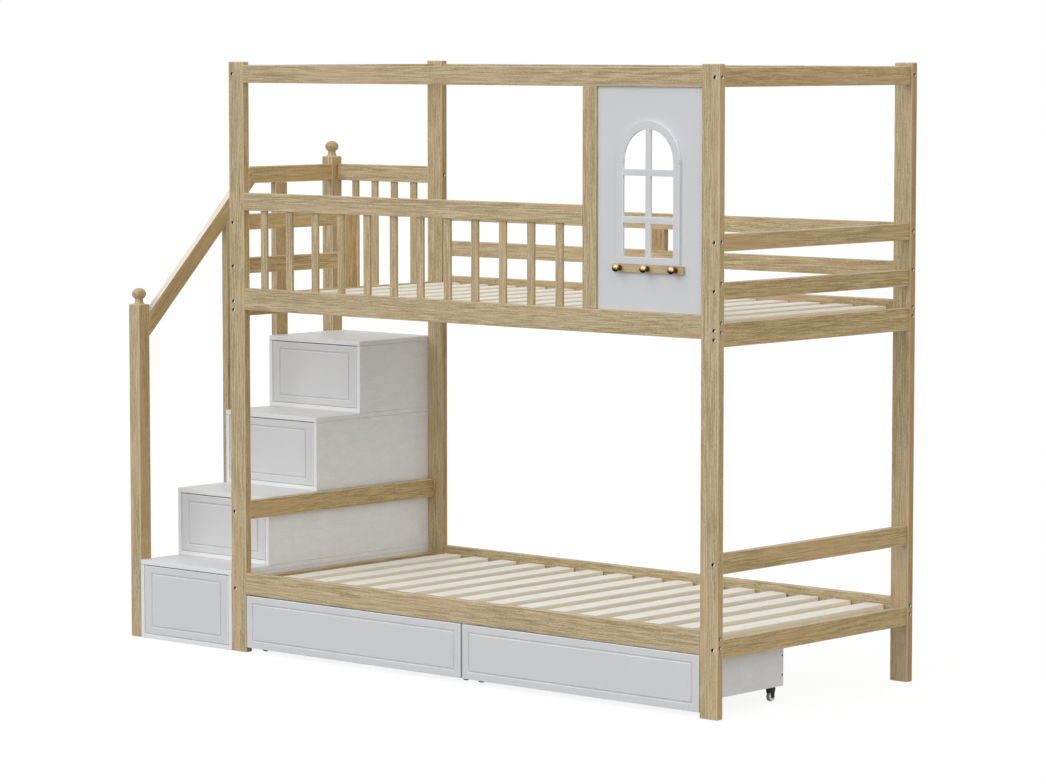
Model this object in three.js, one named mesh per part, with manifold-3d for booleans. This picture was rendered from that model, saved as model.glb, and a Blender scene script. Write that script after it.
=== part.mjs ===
// A bunk bed for two 900 x 2000 mm mattresses, with a flight of storage steps at its left end,
// a board with an arched window in its upper guard, and two rolling drawers under the lower bunk.
// Millimetres, +Z up, +X along the bed towards its right end, +Y from the open front to the wall.
// The origin is on the floor, in the middle of the space that the whole object takes up.

import * as THREE from 'three';
import { mergeVertices } from 'three/addons/utils/BufferGeometryUtils.js';
import Module from 'manifold-3d';

const wasm = await Module();
wasm.setup();

// Driving dimensions

// Clearances
const seatGap = 0.3;            // between pieces that touch
const drawerSideGap = 2;        // each side of a stair drawer in its case
const drawerTopGap = 3;         // over a stair drawer's front
const drawerBottomGap = 1;      // under a stair drawer's front

// Bed frame
const bedLength = 2070;         // outside, over the posts
const bedWidth = 985;           // outside, front face to wall face
const bedHeight = 1953;         // floor to the post tops
const postWidth = 68;           // along the bed
const postDepth = 28;           // across the bed
const postEase = 3;             // eased edges of posts and newels
const railEase = 2;             // eased edges of rails
const thinEase = 1.2;           // eased edges of slats, balusters and boards
const railThickness = 23;       // all long rails and end rails
const endRailInset = 6;         // end rails behind the outer faces of the posts

// Heights of the rails' stock
const handrailStock = 58;       // handrail, front guard top and top rails
const guardStock = 52;          // plain guard rails
const sideRailStock = 72;       // the rails that carry the slats
const lowerEndRailStock = 60;   // end rails of the lower bunk
const headRailStock = 62;       // head and foot rails of the lower bunk

// Levels of the rails' top edges
const topRailDrop = 11;         // top rails under the post tops
const upperBunkLevel = 1210;    // side rails of the upper bunk
const lowerBunkLevel = 266;     // side rails of the lower bunk
const upperEndRailDrop = 23;    // upper end rails under the side rails
const lowerEndRailDrop = 26;    // lower end rails under the side rails
const headRailRise = 232;       // this and the next five are over the side rails of their bunk
const frontGuardRise = 314;
const endGuardUpperRise = 241;
const endGuardLowerRise = 97;
const backGuardUpperRise = 243;
const backGuardLowerRise = 121;

// Front guard and its balusters
const frontStileWidth = 55;     // upright between the guard and the window board
const balusterWidth = 28;
const balusterThickness = 10;
const frontBalusterCount = 12;
const frontBalusterStart = 72;  // gap between the post and the first baluster
const frontBalusterEnd = 86;    // gap between the last baluster and the stile

// Window board, window frame and peg bar
const windowBoardWidth = 410;   // from the stile to the post
const windowBoardThickness = 12;
const windowBoardRecess = 8;    // board behind the front face of the bed
const windowWidth = 195;        // clear width, and the diameter of its round head
const windowSill = 163;         // clear opening's bottom over the side rail
const windowHeadDrop = 126.5;   // clear opening's top under the top rail
const windowTrimWidth = 24;     // frame beside and over the clear opening
const windowTrimFoot = 21;      // frame under the clear opening
const windowTrimThickness = 9;
const windowRebate = 11;        // board's opening is cut back this far behind the frame
const windowBarWidth = 20;
const lowerBarRise = 112;       // middle of the lower cross bar over the sill
const upperBarDrop = 33;        // middle of the upper cross bar under the springing
const pegBarLength = 273;
const pegBarHeight = 25;
const pegBarThickness = 9;
const pegSpacing = 108;
const pegLength = 32;
const pegKnobDiameter = 23;
const pegKnobThickness = 22;
const pegFlangeDiameter = 18;
const pegFlangeThickness = 2.5;
const pegNeckDiameter = 9;

// Back and left guards
const backStilePlace = 1005;    // from the left end of the bed
const backStileWidth = 59;
const leftGuardLength = 518;    // from the front face to the stile beside the way in
const leftStileWidth = 59;

// Slatted bases
const slatCount = 15;
const slatWidth = 68;
const slatThickness = 18;
const slatRise = 1.5;           // slat tops over the end rails
const slatEndGap = 8;           // from each slat end to the side rail
const ledgerSize = 25;          // square batten screwed along each side rail
const housing = 1;              // how far the boards of one piece are let into each other

// Storage steps
const stairWidth = 440;
const stepRises = [267, 231, 251, 247];
const stepGoings = [0, 175, 230, 212]; // each step's front behind the one below
const caseBoard = 16;           // boards of the step cases
const caseBackThickness = 9;
const stairDrawerDepth = 330;   // box of every stair drawer
const stairDrawerDrop = 75;     // a drawer's box under the top of its front
const frontBoard = 16;          // drawer fronts
const drawerWall = 12;
const drawerBase = 6;

// Milled groove round each drawer front
const grooveWidth = 7;
const grooveDepth = 3;
const grooveLevel = 22;         // from the top and bottom edges of every front
const stairGrooveSide = 32;     // from the side edges of a stair drawer's front
const bedGrooveSide = 25;       // from the side edges of a rolling drawer's front

// Handrail, newels and posts
const newelSize = 50;
const newelRise = 27;           // newel tops over the handrail
const handrailThickness = 25;
const handrailOverStart = 840;  // top edge at the front newel over the first step
const handrailOverLanding = 591; // level top edge over the last step
const handrailSlope = THREE.MathUtils.degToRad(45);
const railPostWidth = 25;       // posts between the newels, along the bed
const railPostDepth = 57;
const railPostSetbacks = [10, 37]; // behind the fronts of the third and fourth steps
const ballDiameter = 48;
const ballHeight = 40;
const ballNeckDiameter = 27;
const finialFootDiameter = 44;
const finialHeight = 54;        // newel top to the ball's top

// Guard behind the top step
const landingBalusterCount = 4;
const landingFootRise = 154;    // top edge of its foot rail over the last step

// Rolling drawers
const bedDrawerBottom = 17;     // floor to a front's lower edge
const bedDrawerTopGap = 4;      // front under the side rail
const bedDrawerEndGap = 2.5;    // front beside a post
const bedDrawerMiddleGap = 8;
const bedDrawerBoxInset = 10;   // box behind each end of its front
const bedDrawerBoxDepth = 409;
const bedDrawerBoxDrop = 15;    // box under the top of its front
const wheelDiameter = 30;
const wheelWidth = 14;
const wheelBore = 6;
const wheelEase = 3;            // eased edges of the tread
const wheelHeadroom = 8;        // wheel under its plate
const casterInset = 19;         // wheel's middle plane from the box's side
const casterFrontSetback = 45;  // axles from the ends of the box
const casterBackSetback = 39;
const casterPlateLength = 24;
const casterPlateThickness = 8;
const casterCheekThickness = 2.5;
const casterCheekWidth = 8;     // at the axle
const casterEye = 4;            // cheek under the axle's middle

// Materials
function finish(hex, roughness, metalness = 0) {
  return new THREE.MeshStandardMaterial({ color: hex, roughness, metalness });
}
const oak = finish(0xbda685, 0.55);
const slatWood = finish(0xe4dccb, 0.6);
const whiteBoard = finish(0xe3e4e6, 0.45);
const brass = finish(0xa88445, 0.32, 0.9);
const wheelPlastic = finish(0xb9bbbd, 0.5);

// Places that several pieces share, worked out from the sizes above
const innerLeft = postWidth + seatGap;               // between the posts along the bed
const innerRight = bedLength - postWidth - seatGap;
const innerFront = postDepth + seatGap;              // between the posts across the bed
const innerBack = bedWidth - postDepth - seatGap;
const leftEndRail = [endRailInset, endRailInset + railThickness];
const rightEndRail = [bedLength - endRailInset - railThickness, bedLength - endRailInset];
const frontRail = [0, railThickness];
const backRail = [bedWidth - railThickness, bedWidth];
const topRailTop = bedHeight - topRailDrop;
const overUpperBunk = upperBunkLevel + seatGap;
const underTopRail = topRailTop - handrailStock - seatGap;
const frontStileRight = bedLength - postWidth - windowBoardWidth;
const frontStileLeft = frontStileRight - frontStileWidth;
const stairRight = -seatGap;
const stairLeft = stairRight - stairWidth;
const newelRight = stairLeft - seatGap;
const newelLeft = newelRight - newelSize;
const pegBarFace = windowBoardRecess - seatGap - pegBarThickness;
const pegFoot = pegBarFace - seatGap;
const landingLevel = stepRises.reduce((total, rise) => total + rise);

const bed = new THREE.Group();
bed.position.set(-(newelLeft + bedLength) / 2, -(pegFoot - pegLength + bedWidth) / 2, 0);

// Shaping helpers

// Moves a geometry centred on the origin to the middle of the space between two corners.
function placeBetween(geometry, low, high) {
  return geometry.translate(...low.map((value, axis) => (value + high[axis]) / 2));
}

function boxGeometry(low, high) {
  return placeBetween(new THREE.BoxGeometry(...high.map((value, axis) => value - low[axis])), low, high);
}

// A board between two corners, its length along the named axis. Its long edges are eased, and so
// are its ends unless they are let into another board.
function boardGeometry(low, high, along, ease = railEase, easedEnds = true) {
  const [x, y, z] = high.map((value, axis) => value - low[axis]);
  const [width, height, length] = { x: [z, y, x], y: [x, z, y], z: [x, y, z] }[along];
  const [w, h] = [width / 2, height / 2];
  const outline = new THREE.Shape([
    [w, h - ease], [w - ease, h], [ease - w, h], [-w, h - ease],
    [-w, ease - h], [ease - w, -h], [w - ease, -h], [w, ease - h],
  ].map((point) => new THREE.Vector2(...point)));
  const endEase = easedEnds ? ease : 0;
  const geometry = new THREE.ExtrudeGeometry(outline, {
    depth: length - 2 * endEase, bevelEnabled: easedEnds, bevelSegments: 1,
    bevelThickness: ease, bevelSize: ease / 2, bevelOffset: -ease / 2,
  });
  geometry.translate(0, 0, endEase - length / 2);
  if (along === 'x') geometry.rotateY(Math.PI / 2);
  if (along === 'y') geometry.rotateX(Math.PI / 2);
  return placeBetween(geometry, low, high);
}

// A geometry as a solid that can be joined and cut.
function solid(geometry) {
  const plain = geometry.clone();
  plain.deleteAttribute('normal');
  plain.deleteAttribute('uv');
  const merged = mergeVertices(plain, 1e-4);
  const vertProperties = merged.attributes.position.array;
  const triVerts = new Uint32Array(merged.index.array);
  return new wasm.Manifold(new wasm.Mesh({ numProp: 3, vertProperties, triVerts }));
}

function joined(geometries) {
  return geometries.map(solid).reduce((whole, piece) => whole.add(piece));
}

// Adds a named piece, its geometry moved so that the mesh stands at the middle of the piece.
function addPiece(name, geometry, material) {
  geometry.computeBoundingBox();
  const middle = geometry.boundingBox.getCenter(new THREE.Vector3());
  geometry.translate(-middle.x, -middle.y, -middle.z);
  const piece = new THREE.Mesh(geometry, material);
  piece.name = name;
  piece.position.copy(middle);
  bed.add(piece);
}

function addSolid(name, made, material) {
  const { vertProperties, triVerts } = made.getMesh();
  const geometry = new THREE.BufferGeometry();
  geometry.setAttribute('position', new THREE.BufferAttribute(vertProperties, 3));
  geometry.setIndex(new THREE.BufferAttribute(triVerts, 1));
  addPiece(name, geometry, material);
}

// An oak board along X, Y or Z, given by its extent on each axis.
function addBoard(name, x, y, z, along, ease = railEase) {
  addPiece(name, boardGeometry([x[0], y[0], z[0]], [x[1], y[1], z[1]], along, ease), oak);
}

function under(top, stock) {
  return [top - stock, top];
}

// Posts
for (const [side, x] of [['left', 0], ['right', bedLength - postWidth]]) {
  for (const [face, y] of [['front', 0], ['back', bedWidth - postDepth]]) {
    addBoard(`post_${face}_${side}`, [x, x + postWidth], [y, y + postDepth], [0, bedHeight], 'z', postEase);
  }
}

// Long rails of the front and the back, between the posts
for (const [face, y] of [['front', frontRail], ['back', backRail]]) {
  const x = [innerLeft, innerRight];
  addBoard(`${face}_top_rail`, x, y, under(topRailTop, handrailStock), 'x');
  addBoard(`${face}_upper_side_rail`, x, y, under(upperBunkLevel, sideRailStock), 'x');
  addBoard(`${face}_lower_side_rail`, x, y, under(lowerBunkLevel, sideRailStock), 'x');
}

// End rails, between the front and back posts
const upperEndRailTop = upperBunkLevel - upperEndRailDrop;
const lowerEndRailTop = lowerBunkLevel - lowerEndRailDrop;
for (const [side, x] of [['left', leftEndRail], ['right', rightEndRail]]) {
  const y = [innerFront, innerBack];
  addBoard(`${side}_top_rail`, x, y, under(topRailTop, handrailStock), 'y');
  addBoard(`${side}_upper_end_rail`, x, y, under(upperEndRailTop, sideRailStock), 'y');
  addBoard(`${side}_head_rail`, x, y, under(lowerBunkLevel + headRailRise, headRailStock), 'y');
  addBoard(`${side}_lower_end_rail`, x, y, under(lowerEndRailTop, lowerEndRailStock), 'y');
}

// Guard rails of the ends. The left ones stop at a stile, with the way in from the steps behind it
const endGuardUpperTop = upperBunkLevel + endGuardUpperRise;
for (const [place, top] of [['upper', endGuardUpperTop], ['lower', upperBunkLevel + endGuardLowerRise]]) {
  const z = under(top, guardStock);
  addBoard(`right_guard_${place}`, rightEndRail, [innerFront, innerBack], z, 'y');
  addBoard(`left_guard_${place}`, leftEndRail, [innerFront, leftGuardLength - seatGap], z, 'y');
}
addBoard('left_guard_stile', leftEndRail, [leftGuardLength, leftGuardLength + leftStileWidth],
  [upperEndRailTop + seatGap, endGuardUpperTop], 'z');

// Back guard: a plain rail over a lower one that is joined to a short stile
const backGuardUpper = under(upperBunkLevel + backGuardUpperRise, guardStock);
const backGuardLower = under(upperBunkLevel + backGuardLowerRise, guardStock);
addBoard('back_guard_upper', [innerLeft, innerRight], backRail, backGuardUpper, 'x');
addSolid('back_guard_lower', joined([
  boardGeometry([innerLeft, backRail[0], backGuardLower[0]],
    [innerRight, backRail[1], backGuardLower[1]], 'x'),
  boardGeometry([backStilePlace, backRail[0], overUpperBunk],
    [backStilePlace + backStileWidth, backRail[1], backGuardUpper[0] - seatGap], 'z'),
]), oak);

// Front guard: a rail over flat balusters that stand on the side rail
function balusters(count, x, firstGap, lastGap, rail, z) {
  const pitch = (x[1] - lastGap - balusterWidth - x[0] - firstGap) / (count - 1);
  const front = (rail[0] + rail[1] - balusterThickness) / 2;
  return Array.from({ length: count }, (_, index) => {
    const left = x[0] + firstGap + index * pitch;
    return boardGeometry([left, front, z[0]], [left + balusterWidth, front + balusterThickness, z[1]],
      'z', thinEase, false);
  });
}
const frontGuardX = [innerLeft, frontStileLeft - seatGap];
const frontGuardTop = upperBunkLevel + frontGuardRise;
const frontGuardBottom = frontGuardTop - handrailStock;
addSolid('front_guard', joined([
  boardGeometry([frontGuardX[0], frontRail[0], frontGuardBottom],
    [frontGuardX[1], frontRail[1], frontGuardTop], 'x'),
  ...balusters(frontBalusterCount, frontGuardX, frontBalusterStart, frontBalusterEnd, frontRail,
    [overUpperBunk, frontGuardBottom + housing]),
]), oak);
addBoard('front_stile', [frontStileLeft, frontStileRight], frontRail, [overUpperBunk, underTopRail], 'z');

// Window board and window frame
const windowCentre = frontStileRight + windowBoardWidth / 2;
const windowBottom = upperBunkLevel + windowSill;
const windowSpringing = topRailTop - handrailStock - windowHeadDrop - windowWidth / 2;

// The window's outline, straight sides under a round head, grown by one margin at its foot and by
// another one everywhere else.
function archOutline(margin, foot, Outline = THREE.Shape) {
  const radius = windowWidth / 2 + margin;
  const outline = new Outline();
  outline.moveTo(-radius, windowBottom - foot);
  outline.lineTo(radius, windowBottom - foot);
  outline.absarc(0, windowSpringing, radius, 0, Math.PI);
  outline.closePath();
  return outline;
}

// A flat cut-out standing in the XZ plane, with its front at y.
function standing(outline, y, thickness) {
  const settings = { depth: thickness, bevelEnabled: false, curveSegments: 8 };
  const geometry = new THREE.ExtrudeGeometry(outline, settings);
  return geometry.rotateX(Math.PI / 2).translate(windowCentre, y + thickness, 0);
}

const windowBoard = solid(boardGeometry([frontStileRight + seatGap, windowBoardRecess, overUpperBunk],
  [innerRight, windowBoardRecess + windowBoardThickness, underTopRail], 'z', thinEase));
const windowCut = standing(archOutline(windowRebate, windowRebate), windowBoardRecess - housing,
  windowBoardThickness + 2 * housing);
addSolid('window_board', windowBoard.subtract(solid(windowCut)), whiteBoard);

const trimBack = windowBoardRecess - seatGap;
const trimFront = trimBack - windowTrimThickness;
const trimOutline = archOutline(windowTrimWidth, windowTrimFoot);
trimOutline.holes.push(archOutline(0, 0, THREE.Path));
const barReach = (windowWidth + windowTrimWidth) / 2;
addSolid('window_frame', joined([
  standing(trimOutline, trimFront, windowTrimThickness),
  boxGeometry([windowCentre - windowBarWidth / 2, trimFront, windowBottom - windowTrimFoot / 2],
    [windowCentre + windowBarWidth / 2, trimBack, windowSpringing + barReach]),
  ...[windowBottom + lowerBarRise, windowSpringing - upperBarDrop].map((middle) => boxGeometry(
    [windowCentre - barReach, trimFront, middle - windowBarWidth / 2],
    [windowCentre + barReach, trimBack, middle + windowBarWidth / 2])),
]), whiteBoard);

// Peg bar under the window, with three turned brass pegs
const pegBarTop = windowBottom - windowTrimFoot - seatGap;
addBoard('peg_bar', [windowCentre - pegBarLength / 2, windowCentre + pegBarLength / 2],
  [pegBarFace, pegBarFace + pegBarThickness], under(pegBarTop, pegBarHeight), 'x', thinEase);

// The side view of a flattened ball, from where it meets its neck to its top, as points that
// each hold a distance from the axis and one along it.
function ballProfile(diameter, height, neckDiameter, top, steps) {
  const start = -Math.acos(neckDiameter / diameter);
  const ball = new THREE.EllipseCurve(0, top - height / 2, diameter / 2, height / 2, start, Math.PI / 2);
  return [...ball.getPoints(steps).slice(0, -1), new THREE.Vector2(0, top)];
}
const pegProfile = [
  new THREE.Vector2(0, 0),
  new THREE.Vector2(pegFlangeDiameter / 2, 0),
  new THREE.Vector2(pegFlangeDiameter / 2, pegFlangeThickness),
  new THREE.Vector2(pegNeckDiameter / 2, 2 * pegFlangeThickness),
  ...ballProfile(pegKnobDiameter, pegKnobThickness, pegNeckDiameter, pegLength, 6),
];
['left', 'middle', 'right'].forEach((place, index) => {
  const peg = new THREE.LatheGeometry(pegProfile, 16).rotateX(Math.PI);
  peg.translate(windowCentre + (index - 1) * pegSpacing, pegFoot, pegBarTop - pegBarHeight / 2);
  addPiece(`peg_${place}`, peg, brass);
});

// Slatted bases: evenly spaced slats on two ledger battens
function addSlats(name, endRailTop) {
  const top = endRailTop + slatRise;
  const bottom = top - slatThickness;
  const span = [leftEndRail[1], rightEndRail[0]];
  const gap = (span[1] - span[0] - slatCount * slatWidth) / (slatCount + 1);
  const y = [frontRail[1] + slatEndGap, backRail[0] - slatEndGap];
  const slats = Array.from({ length: slatCount }, (_, index) => {
    const left = span[0] + gap + index * (slatWidth + gap);
    return boardGeometry([left, y[0], bottom], [left + slatWidth, y[1], top], 'y', thinEase, false);
  });
  const ledgers = [frontRail[1] + seatGap, backRail[0] - seatGap - ledgerSize].map((front) => boxGeometry(
    [innerLeft, front, bottom + housing - ledgerSize], [innerRight, front + ledgerSize, bottom + housing]));
  addSolid(name, joined([...ledgers, ...slats]), slatWood);
}
addSlats('upper_slats', upperEndRailTop);
addSlats('lower_slats', lowerEndRailTop);

// A board front with a groove milled round it, its front face at y.
function milledFront(x, y, z, grooveSide) {
  const board = solid(boardGeometry([x[0], y, z[0]], [x[1], y + frontBoard, z[1]], 'x', thinEase));
  const low = [x[0] + grooveSide, y - grooveDepth, z[0] + grooveLevel];
  const high = [x[1] - grooveSide, y + grooveDepth, z[1] - grooveLevel];
  const field = boxGeometry([low[0] + grooveWidth, low[1] - grooveDepth, low[2] + grooveWidth],
    [high[0] - grooveWidth, high[1] + grooveDepth, high[2] - grooveWidth]);
  return board.subtract(solid(boxGeometry(low, high)).subtract(solid(field)));
}

// An open box behind a drawer front.
function drawerBox(x, y, z) {
  const hollow = boxGeometry([x[0] + drawerWall, y[0] + drawerWall, z[0] + drawerBase],
    [x[1] - drawerWall, y[1] - drawerWall, z[1] + drawerBase]);
  return solid(boxGeometry([x[0], y[0], z[0]], [x[1], y[1], z[1]])).subtract(solid(hollow));
}

// Storage steps: cases stacked against the bed's left end, each with a drawer as its riser
const stepFronts = [];
stepRises.reduce((bottom, rise, index) => {
  const front = (index ? stepFronts[index - 1] : 0) + stepGoings[index];
  stepFronts.push(front);
  const z = [index ? bottom + seatGap : 0, bottom + rise];
  const x = [stairLeft + caseBoard, stairRight - caseBoard];
  const cavity = boxGeometry([x[0], front - caseBoard, z[0] + caseBoard],
    [x[1], bedWidth - caseBackThickness, z[1] - caseBoard]);
  const outside = boardGeometry([stairLeft, front, z[0]], [stairRight, bedWidth, z[1]], 'y', thinEase);
  addSolid(`step_case_${index + 1}`, solid(outside).subtract(solid(cavity)), whiteBoard);

  const frontX = [x[0] + drawerSideGap, x[1] - drawerSideGap];
  const frontZ = [z[0] + caseBoard + drawerBottomGap, z[1] - caseBoard - drawerTopGap];
  const boxY = [front + frontBoard - housing, front + frontBoard + stairDrawerDepth];
  const box = drawerBox(frontX, boxY, [z[0] + caseBoard + seatGap, frontZ[1] - stairDrawerDrop]);
  const drawer = milledFront(frontX, front, frontZ, stairGrooveSide).add(box);
  addSolid(`step_drawer_${index + 1}`, drawer, whiteBoard);
  return bottom + rise;
}, 0);

// Handrail: a sloping board mitred to a level one, between the newels
const handrailX = [newelRight - handrailThickness, newelRight];
const handrailY = [newelSize + seatGap, bedWidth - newelSize - seatGap];
const handrailStart = stepRises[0] + handrailOverStart;
const handrailTop = landingLevel + handrailOverLanding;
const handrailBottom = handrailTop - handrailStock;
const bendTop = handrailY[0] + (handrailTop - handrailStart) / Math.tan(handrailSlope);
const bendBottom = bendTop + handrailStock * Math.tan(handrailSlope / 2);
const startBottom = handrailBottom - (bendBottom - handrailY[0]) * Math.tan(handrailSlope);

// Extrudes a closed outline of [y, z] points along X.
function profileAlongX(points, x) {
  const outline = new THREE.Shape(points.map((point) => new THREE.Vector2(...point)));
  const geometry = new THREE.ExtrudeGeometry(outline, { depth: x[1] - x[0], bevelEnabled: false });
  const upright = new THREE.Matrix4().makeBasis(
    new THREE.Vector3(0, 1, 0), new THREE.Vector3(0, 0, 1), new THREE.Vector3(1, 0, 0));
  return geometry.applyMatrix4(upright).translate(x[0], 0, 0);
}
addPiece('handrail', profileAlongX([
  [handrailY[0], startBottom], [bendBottom, handrailBottom], [handrailY[1], handrailBottom],
  [handrailY[1], handrailTop], [bendTop, handrailTop], [handrailY[0], handrailStart],
], handrailX), oak);

// Two posts carry the handrail and are cut to its underside
const overPosts = solid(profileAlongX([
  [handrailY[0], startBottom - seatGap], [bendBottom, handrailBottom - seatGap],
  [handrailY[1], handrailBottom - seatGap], [handrailY[1], bedHeight], [handrailY[0], bedHeight],
], [newelLeft, stairRight]));
['front', 'back'].forEach((place, index) => {
  const front = stepFronts[index + 2] + railPostSetbacks[index];
  const post = boardGeometry([newelRight - railPostWidth, front, 0],
    [newelRight, front + railPostDepth, handrailTop], 'z');
  addSolid(`handrail_post_${place}`, solid(post).subtract(overPosts), oak);
});

// Newels, each with a turned ball over a flared neck
const newelBall = ballProfile(ballDiameter, ballHeight, ballNeckDiameter, finialHeight, 7);
const newelFlare = new THREE.QuadraticBezierCurve(new THREE.Vector2(finialFootDiameter / 2, 0),
  new THREE.Vector2(ballNeckDiameter / 2, 0), newelBall[0]);
const finialProfile = [new THREE.Vector2(0, -housing), new THREE.Vector2(finialFootDiameter / 2, -housing),
  ...newelFlare.getPoints(3).slice(0, -1), ...newelBall];
for (const [place, y, top] of [
  ['front', 0, handrailStart + newelRise], ['back', bedWidth - newelSize, handrailTop + newelRise]]) {
  const finial = new THREE.LatheGeometry(finialProfile, 16).rotateX(Math.PI / 2);
  addSolid(`newel_${place}`, joined([
    boardGeometry([newelLeft, y, 0], [newelRight, y + newelSize, top], 'z', postEase),
    finial.translate((newelLeft + newelRight) / 2, y + newelSize / 2, top),
  ]), oak);
}

// Guard behind the top step, between the back newel and the bed
const landingX = [newelRight + seatGap, -seatGap];
const landingOpen = landingX[1] - landingX[0] - landingBalusterCount * balusterWidth;
const landingGap = landingOpen / (landingBalusterCount + 1);
const landingFootTop = landingLevel + landingFootRise;
addSolid('landing_guard', joined([
  ...[handrailTop, landingFootTop].map((top) => boardGeometry(
    [landingX[0], backRail[0], top - handrailStock], [landingX[1], backRail[1], top], 'x')),
  ...balusters(landingBalusterCount, landingX, landingGap, landingGap, backRail,
    [landingFootTop - housing, handrailBottom + housing]),
]), oak);

// Rolling drawers, each on four casters whose brackets are part of its solid
const casterPlateBottom = wheelDiameter + wheelHeadroom;
const bedBoxBottom = casterPlateBottom + casterPlateThickness;
const cheekGap = wheelWidth / 2 + seatGap;
const casterHalfWidth = cheekGap + casterCheekThickness;

// A pin or wheel that turns about X, from a profile of [distance along X, radius] points.
function turnedAlongX(points, sides, x, y) {
  const profile = points.map(([along, radius]) => new THREE.Vector2(radius, along));
  return new THREE.LatheGeometry(profile, sides).rotateZ(-Math.PI / 2).translate(x, y, wheelDiameter / 2);
}

// A caster's plate, its two cheeks and the axle between them.
function casterBracket(x, y) {
  const halfPlate = casterPlateLength / 2;
  const plate = boxGeometry([x - casterHalfWidth, y - halfPlate, casterPlateBottom],
    [x + casterHalfWidth, y + halfPlate, bedBoxBottom + housing]);
  const eyeBottom = wheelDiameter / 2 - casterEye;
  const cheeks = [x - casterHalfWidth, x + cheekGap].map((side) => profileAlongX([
    [y - casterCheekWidth / 2, eyeBottom], [y + casterCheekWidth / 2, eyeBottom],
    [y + halfPlate, casterPlateBottom + housing], [y - halfPlate, casterPlateBottom + housing],
  ], [side, side + casterCheekThickness]));
  const pin = wheelBore / 2 - seatGap;
  const reach = cheekGap + housing;
  return [plate, ...cheeks, turnedAlongX([[-reach, 0], [-reach, pin], [reach, pin], [reach, 0]], 8, x, y)];
}

function casterWheel(x, y) {
  const half = wheelWidth / 2;
  const bore = wheelBore / 2;
  const radius = wheelDiameter / 2;
  return turnedAlongX([[-half, bore], [-half, radius - wheelEase], [wheelEase - half, radius],
    [half - wheelEase, radius], [half, radius - wheelEase], [half, bore], [-half, bore]], 16, x, y);
}

const bedDrawersLeft = postWidth + bedDrawerEndGap;
const bedDrawersRight = bedLength - postWidth - bedDrawerEndGap;
const bedDrawersMiddle = (bedDrawersLeft + bedDrawersRight) / 2;
const bedDrawerTop = lowerBunkLevel - sideRailStock - bedDrawerTopGap;
const boxFront = frontBoard - housing;
const boxBack = frontBoard + bedDrawerBoxDepth;
for (const [side, x] of [
  ['left', [bedDrawersLeft, bedDrawersMiddle - bedDrawerMiddleGap / 2]],
  ['right', [bedDrawersMiddle + bedDrawerMiddleGap / 2, bedDrawersRight]]]) {
  const boxX = [x[0] + bedDrawerBoxInset, x[1] - bedDrawerBoxInset];
  const brackets = [];
  const rows = [['front', frontBoard + casterFrontSetback], ['back', boxBack - casterBackSetback]];
  for (const [row, y] of rows) {
    for (const [end, place] of [['left', boxX[0] + casterInset], ['right', boxX[1] - casterInset]]) {
      brackets.push(...casterBracket(place, y));
      addPiece(`${side}_drawer_wheel_${row}_${end}`, casterWheel(place, y), wheelPlastic);
    }
  }
  addSolid(`bed_drawer_${side}`, milledFront(x, 0, [bedDrawerBottom, bedDrawerTop], bedGrooveSide)
    .add(drawerBox(boxX, [boxFront, boxBack], [bedBoxBottom, bedDrawerTop - bedDrawerBoxDrop]))
    .add(joined(brackets)), whiteBoard);
}

export default bed;
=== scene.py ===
import math
import random
import bmesh
import bpy
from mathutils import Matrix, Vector


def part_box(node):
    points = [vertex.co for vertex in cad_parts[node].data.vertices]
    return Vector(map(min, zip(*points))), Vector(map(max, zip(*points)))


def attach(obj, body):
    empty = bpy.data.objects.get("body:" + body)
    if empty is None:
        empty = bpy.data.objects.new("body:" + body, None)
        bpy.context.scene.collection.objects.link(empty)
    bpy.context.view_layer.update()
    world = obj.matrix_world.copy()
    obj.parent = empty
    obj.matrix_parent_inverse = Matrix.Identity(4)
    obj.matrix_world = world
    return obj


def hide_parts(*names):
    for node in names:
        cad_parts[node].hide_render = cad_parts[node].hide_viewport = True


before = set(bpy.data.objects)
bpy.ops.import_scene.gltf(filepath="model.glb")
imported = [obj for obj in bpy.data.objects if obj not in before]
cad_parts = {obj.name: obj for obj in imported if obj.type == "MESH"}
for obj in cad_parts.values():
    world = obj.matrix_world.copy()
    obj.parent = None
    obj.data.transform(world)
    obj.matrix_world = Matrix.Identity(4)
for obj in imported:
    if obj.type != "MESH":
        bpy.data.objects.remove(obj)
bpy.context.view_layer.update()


# Posts
# Four uprights of solid oak, 68 x 28 mm, run from the floor to the canopy rails. They are planed
# square, eased along their edges with a round-over bit and finished with a satin lacquer.


def colour(red, green, blue):
    """A colour as it looks on a screen, 0 to 255, in the linear values that a shader takes."""
    shares = [value / 255 for value in (red, green, blue)]
    return (*[share / 12.92 if share <= 0.04045 else ((share + 0.055) / 1.055) ** 2.4
              for share in shares], 1)


post_ease = 0.003
straight_share = 0.999  # a direction with a greater part along an axis runs along that axis
right_share = 0.3  # faces that look to the right by more than this belong to a post's right side
shade_angle = 35  # degrees; sharper edges stay sharp
painted_shade_tint = colour(236, 221, 208)  # painted shade: the marked faces are darkened by this
painted_light_tone = colour(252, 244, 234)  # a painted highlight laid on the marked faces
lumber = random.Random(8)  # picks each board's place in its log
log_side = 0.02  # boards lie up to so far beside the pith
log_depth = (0.05, 0.09)  # and between these distances out from it
log_length = 60  # and anywhere along it


def choose(piece):
    """Makes a piece the only selected one."""
    bpy.ops.object.select_all(action="DESELECT")
    piece.select_set(True)
    bpy.context.view_layer.objects.active = piece


def block(name, low, high):
    """A sharp-edged board between two corners, not yet eased."""
    low, high = Vector(low), Vector(high)
    bpy.ops.mesh.primitive_cube_add(size=1, location=(low + high) / 2)
    piece = bpy.context.active_object
    piece.name = name
    piece.scale = high - low
    bpy.ops.object.transform_apply(location=True, rotation=True, scale=True)
    return piece


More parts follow.
